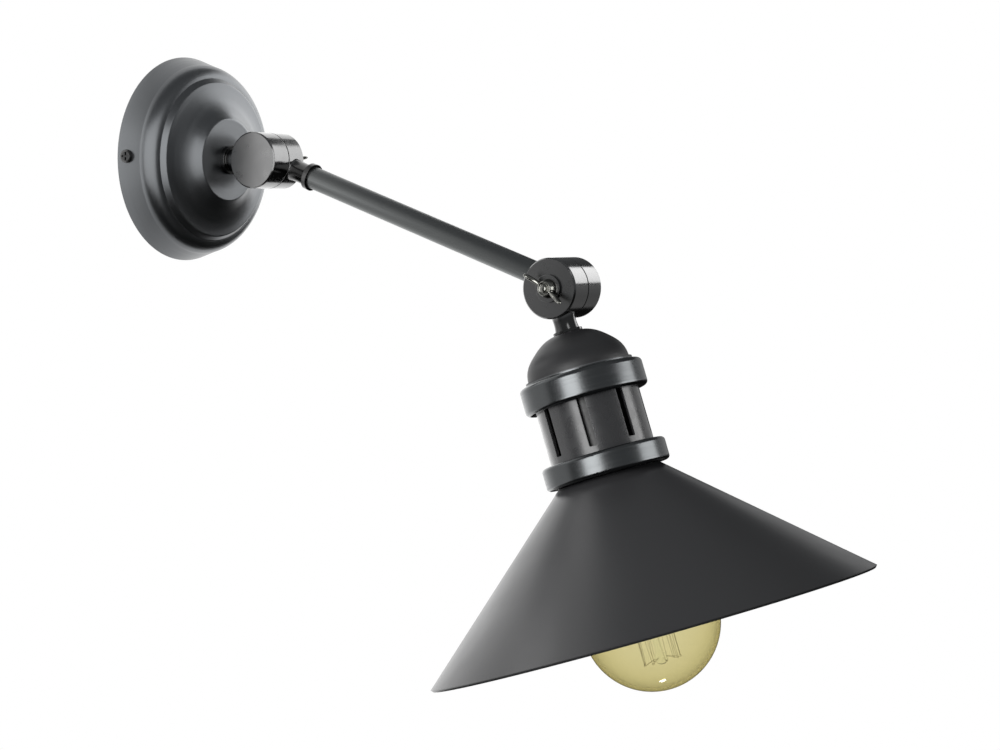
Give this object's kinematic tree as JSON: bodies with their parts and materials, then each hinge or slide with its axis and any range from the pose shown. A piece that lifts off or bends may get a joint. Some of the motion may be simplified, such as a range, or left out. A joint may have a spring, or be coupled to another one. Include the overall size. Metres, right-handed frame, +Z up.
{
  "type": "wall lamp",
  "caption": "Adjustable wall lamp: stepped round canopy, straight tilting arm on friction knuckles with wing screws, slotted lampholder cover, conical shade and round filament lamp.",
  "frame": {"origin": "centre of the wall bracket, on the wall plane", "axes": "+Z up, -Y out of the wall into the room, +X to the right as seen from the room"},
  "size_m": [0.2, 0.3617, 0.2846],
  "materials": {
    "satin_gunmetal_steel": "satin gunmetal plate under clear lacquer on spun steel",
    "satin_black_shade_steel": "satin powder coat on spun steel",
    "brushed_black_aluminium": "turned and brushed, black anodised",
    "black_nickel": "polished black nickel plate",
    "grey_arm_steel": "satin dark grey lacquer on drawn tube",
    "zinc_steel": "zinc plated",
    "brass": "plain turned brass",
    "nickel_brass": "nickel plated brass sheet",
    "white_polyamide": "moulded",
    "fibre": "pressed fibre washer",
    "black_phenolic": "compression moulded phenolic",
    "black_glass": "vitrified black insulator",
    "amber_glass": "clear amber tinted blown glass",
    "clear_glass": "clear lead glass",
    "carbon_filament": "drawn carbon wire",
    "molybdenum": "drawn wire",
    "pvc_cores": "PVC insulated core",
    "pvc_earth": "PVC insulated earth core"
  },
  "bodies": {
    "wall_side": {"wall_bracket": "zinc_steel", "canopy": "satin_gunmetal_steel", "canopy_side_screws": "black_nickel", "terminal_block": "white_polyamide", "terminal_screws": "brass", "terminal_fixing_screw": "zinc_steel", "earth_screw": "brass", "earth_washer": "brass", "earth_lead": "pvc_earth", "supply_leads": "pvc_cores", "upper_knuckle_base": "black_nickel", "canopy_lock_washer": "zinc_steel", "canopy_lock_nut": "brass", "upper_friction_washer": "fibre"},
    "upper_screw": {"upper_wing_screw": "black_nickel", "upper_wing_washer": "black_nickel"},
    "arm": {"upper_knuckle_arm": "black_nickel", "arm_tube": "grey_arm_steel", "lower_knuckle_arm": "black_nickel", "lower_friction_washer": "fibre", "arm_leads": "pvc_cores"},
    "lower_screw": {"lower_wing_screw": "black_nickel", "lower_wing_washer": "black_nickel"},
    "head": {"lower_knuckle_head": "black_nickel", "socket_cap": "brushed_black_aluminium", "cap_lock_washer": "zinc_steel", "cap_lock_nut": "brass", "vent_sleeve": "satin_black_shade_steel", "shade_collar": "brushed_black_aluminium", "shade": "satin_black_shade_steel", "lampholder_cap": "black_phenolic", "lampholder_body": "black_phenolic", "lampholder_terminal_screws": "brass", "screw_shell": "nickel_brass", "centre_contact": "brass", "shade_ring": "brushed_black_aluminium", "head_leads": "pvc_cores"},
    "lamp": {"lamp_tip_contact": "brass", "lamp_insulator": "black_glass", "lamp_base": "nickel_brass", "lamp_globe": "amber_glass", "lamp_stem": "clear_glass", "filament": "carbon_filament", "filament_anchors": "molybdenum"}
  },
  "joints": [
    {"name": "arm_tilt", "type": "hinge", "parent": "wall_side", "child": "arm", "pos_m": [0, -0.0456, 0], "axis": [-1, 0, 0], "range_deg": [-20, 60]},
    {"name": "upper_wing_turn", "type": "hinge", "parent": "wall_side", "child": "upper_screw", "pos_m": [0.0177, -0.0456, 0], "axis": [1, 0, 0], "range_deg": [0, 360]},
    {"name": "head_tilt", "type": "hinge", "parent": "arm", "child": "head", "pos_m": [0, -0.21403, -0.0544], "axis": [-1, 0, 0], "range_deg": [-45, 100]},
    {"name": "lower_wing_turn", "type": "hinge", "parent": "arm", "child": "lower_screw", "pos_m": [-0.0057, -0.21403, -0.0544], "axis": [-1, 0, 0], "range_deg": [0, 360]},
    {"name": "lamp_turn", "type": "hinge", "parent": "head", "child": "lamp", "pos_m": [0, -0.24548, -0.13873], "axis": [0, -0.3494, -0.937], "continuous": true}
  ]
}
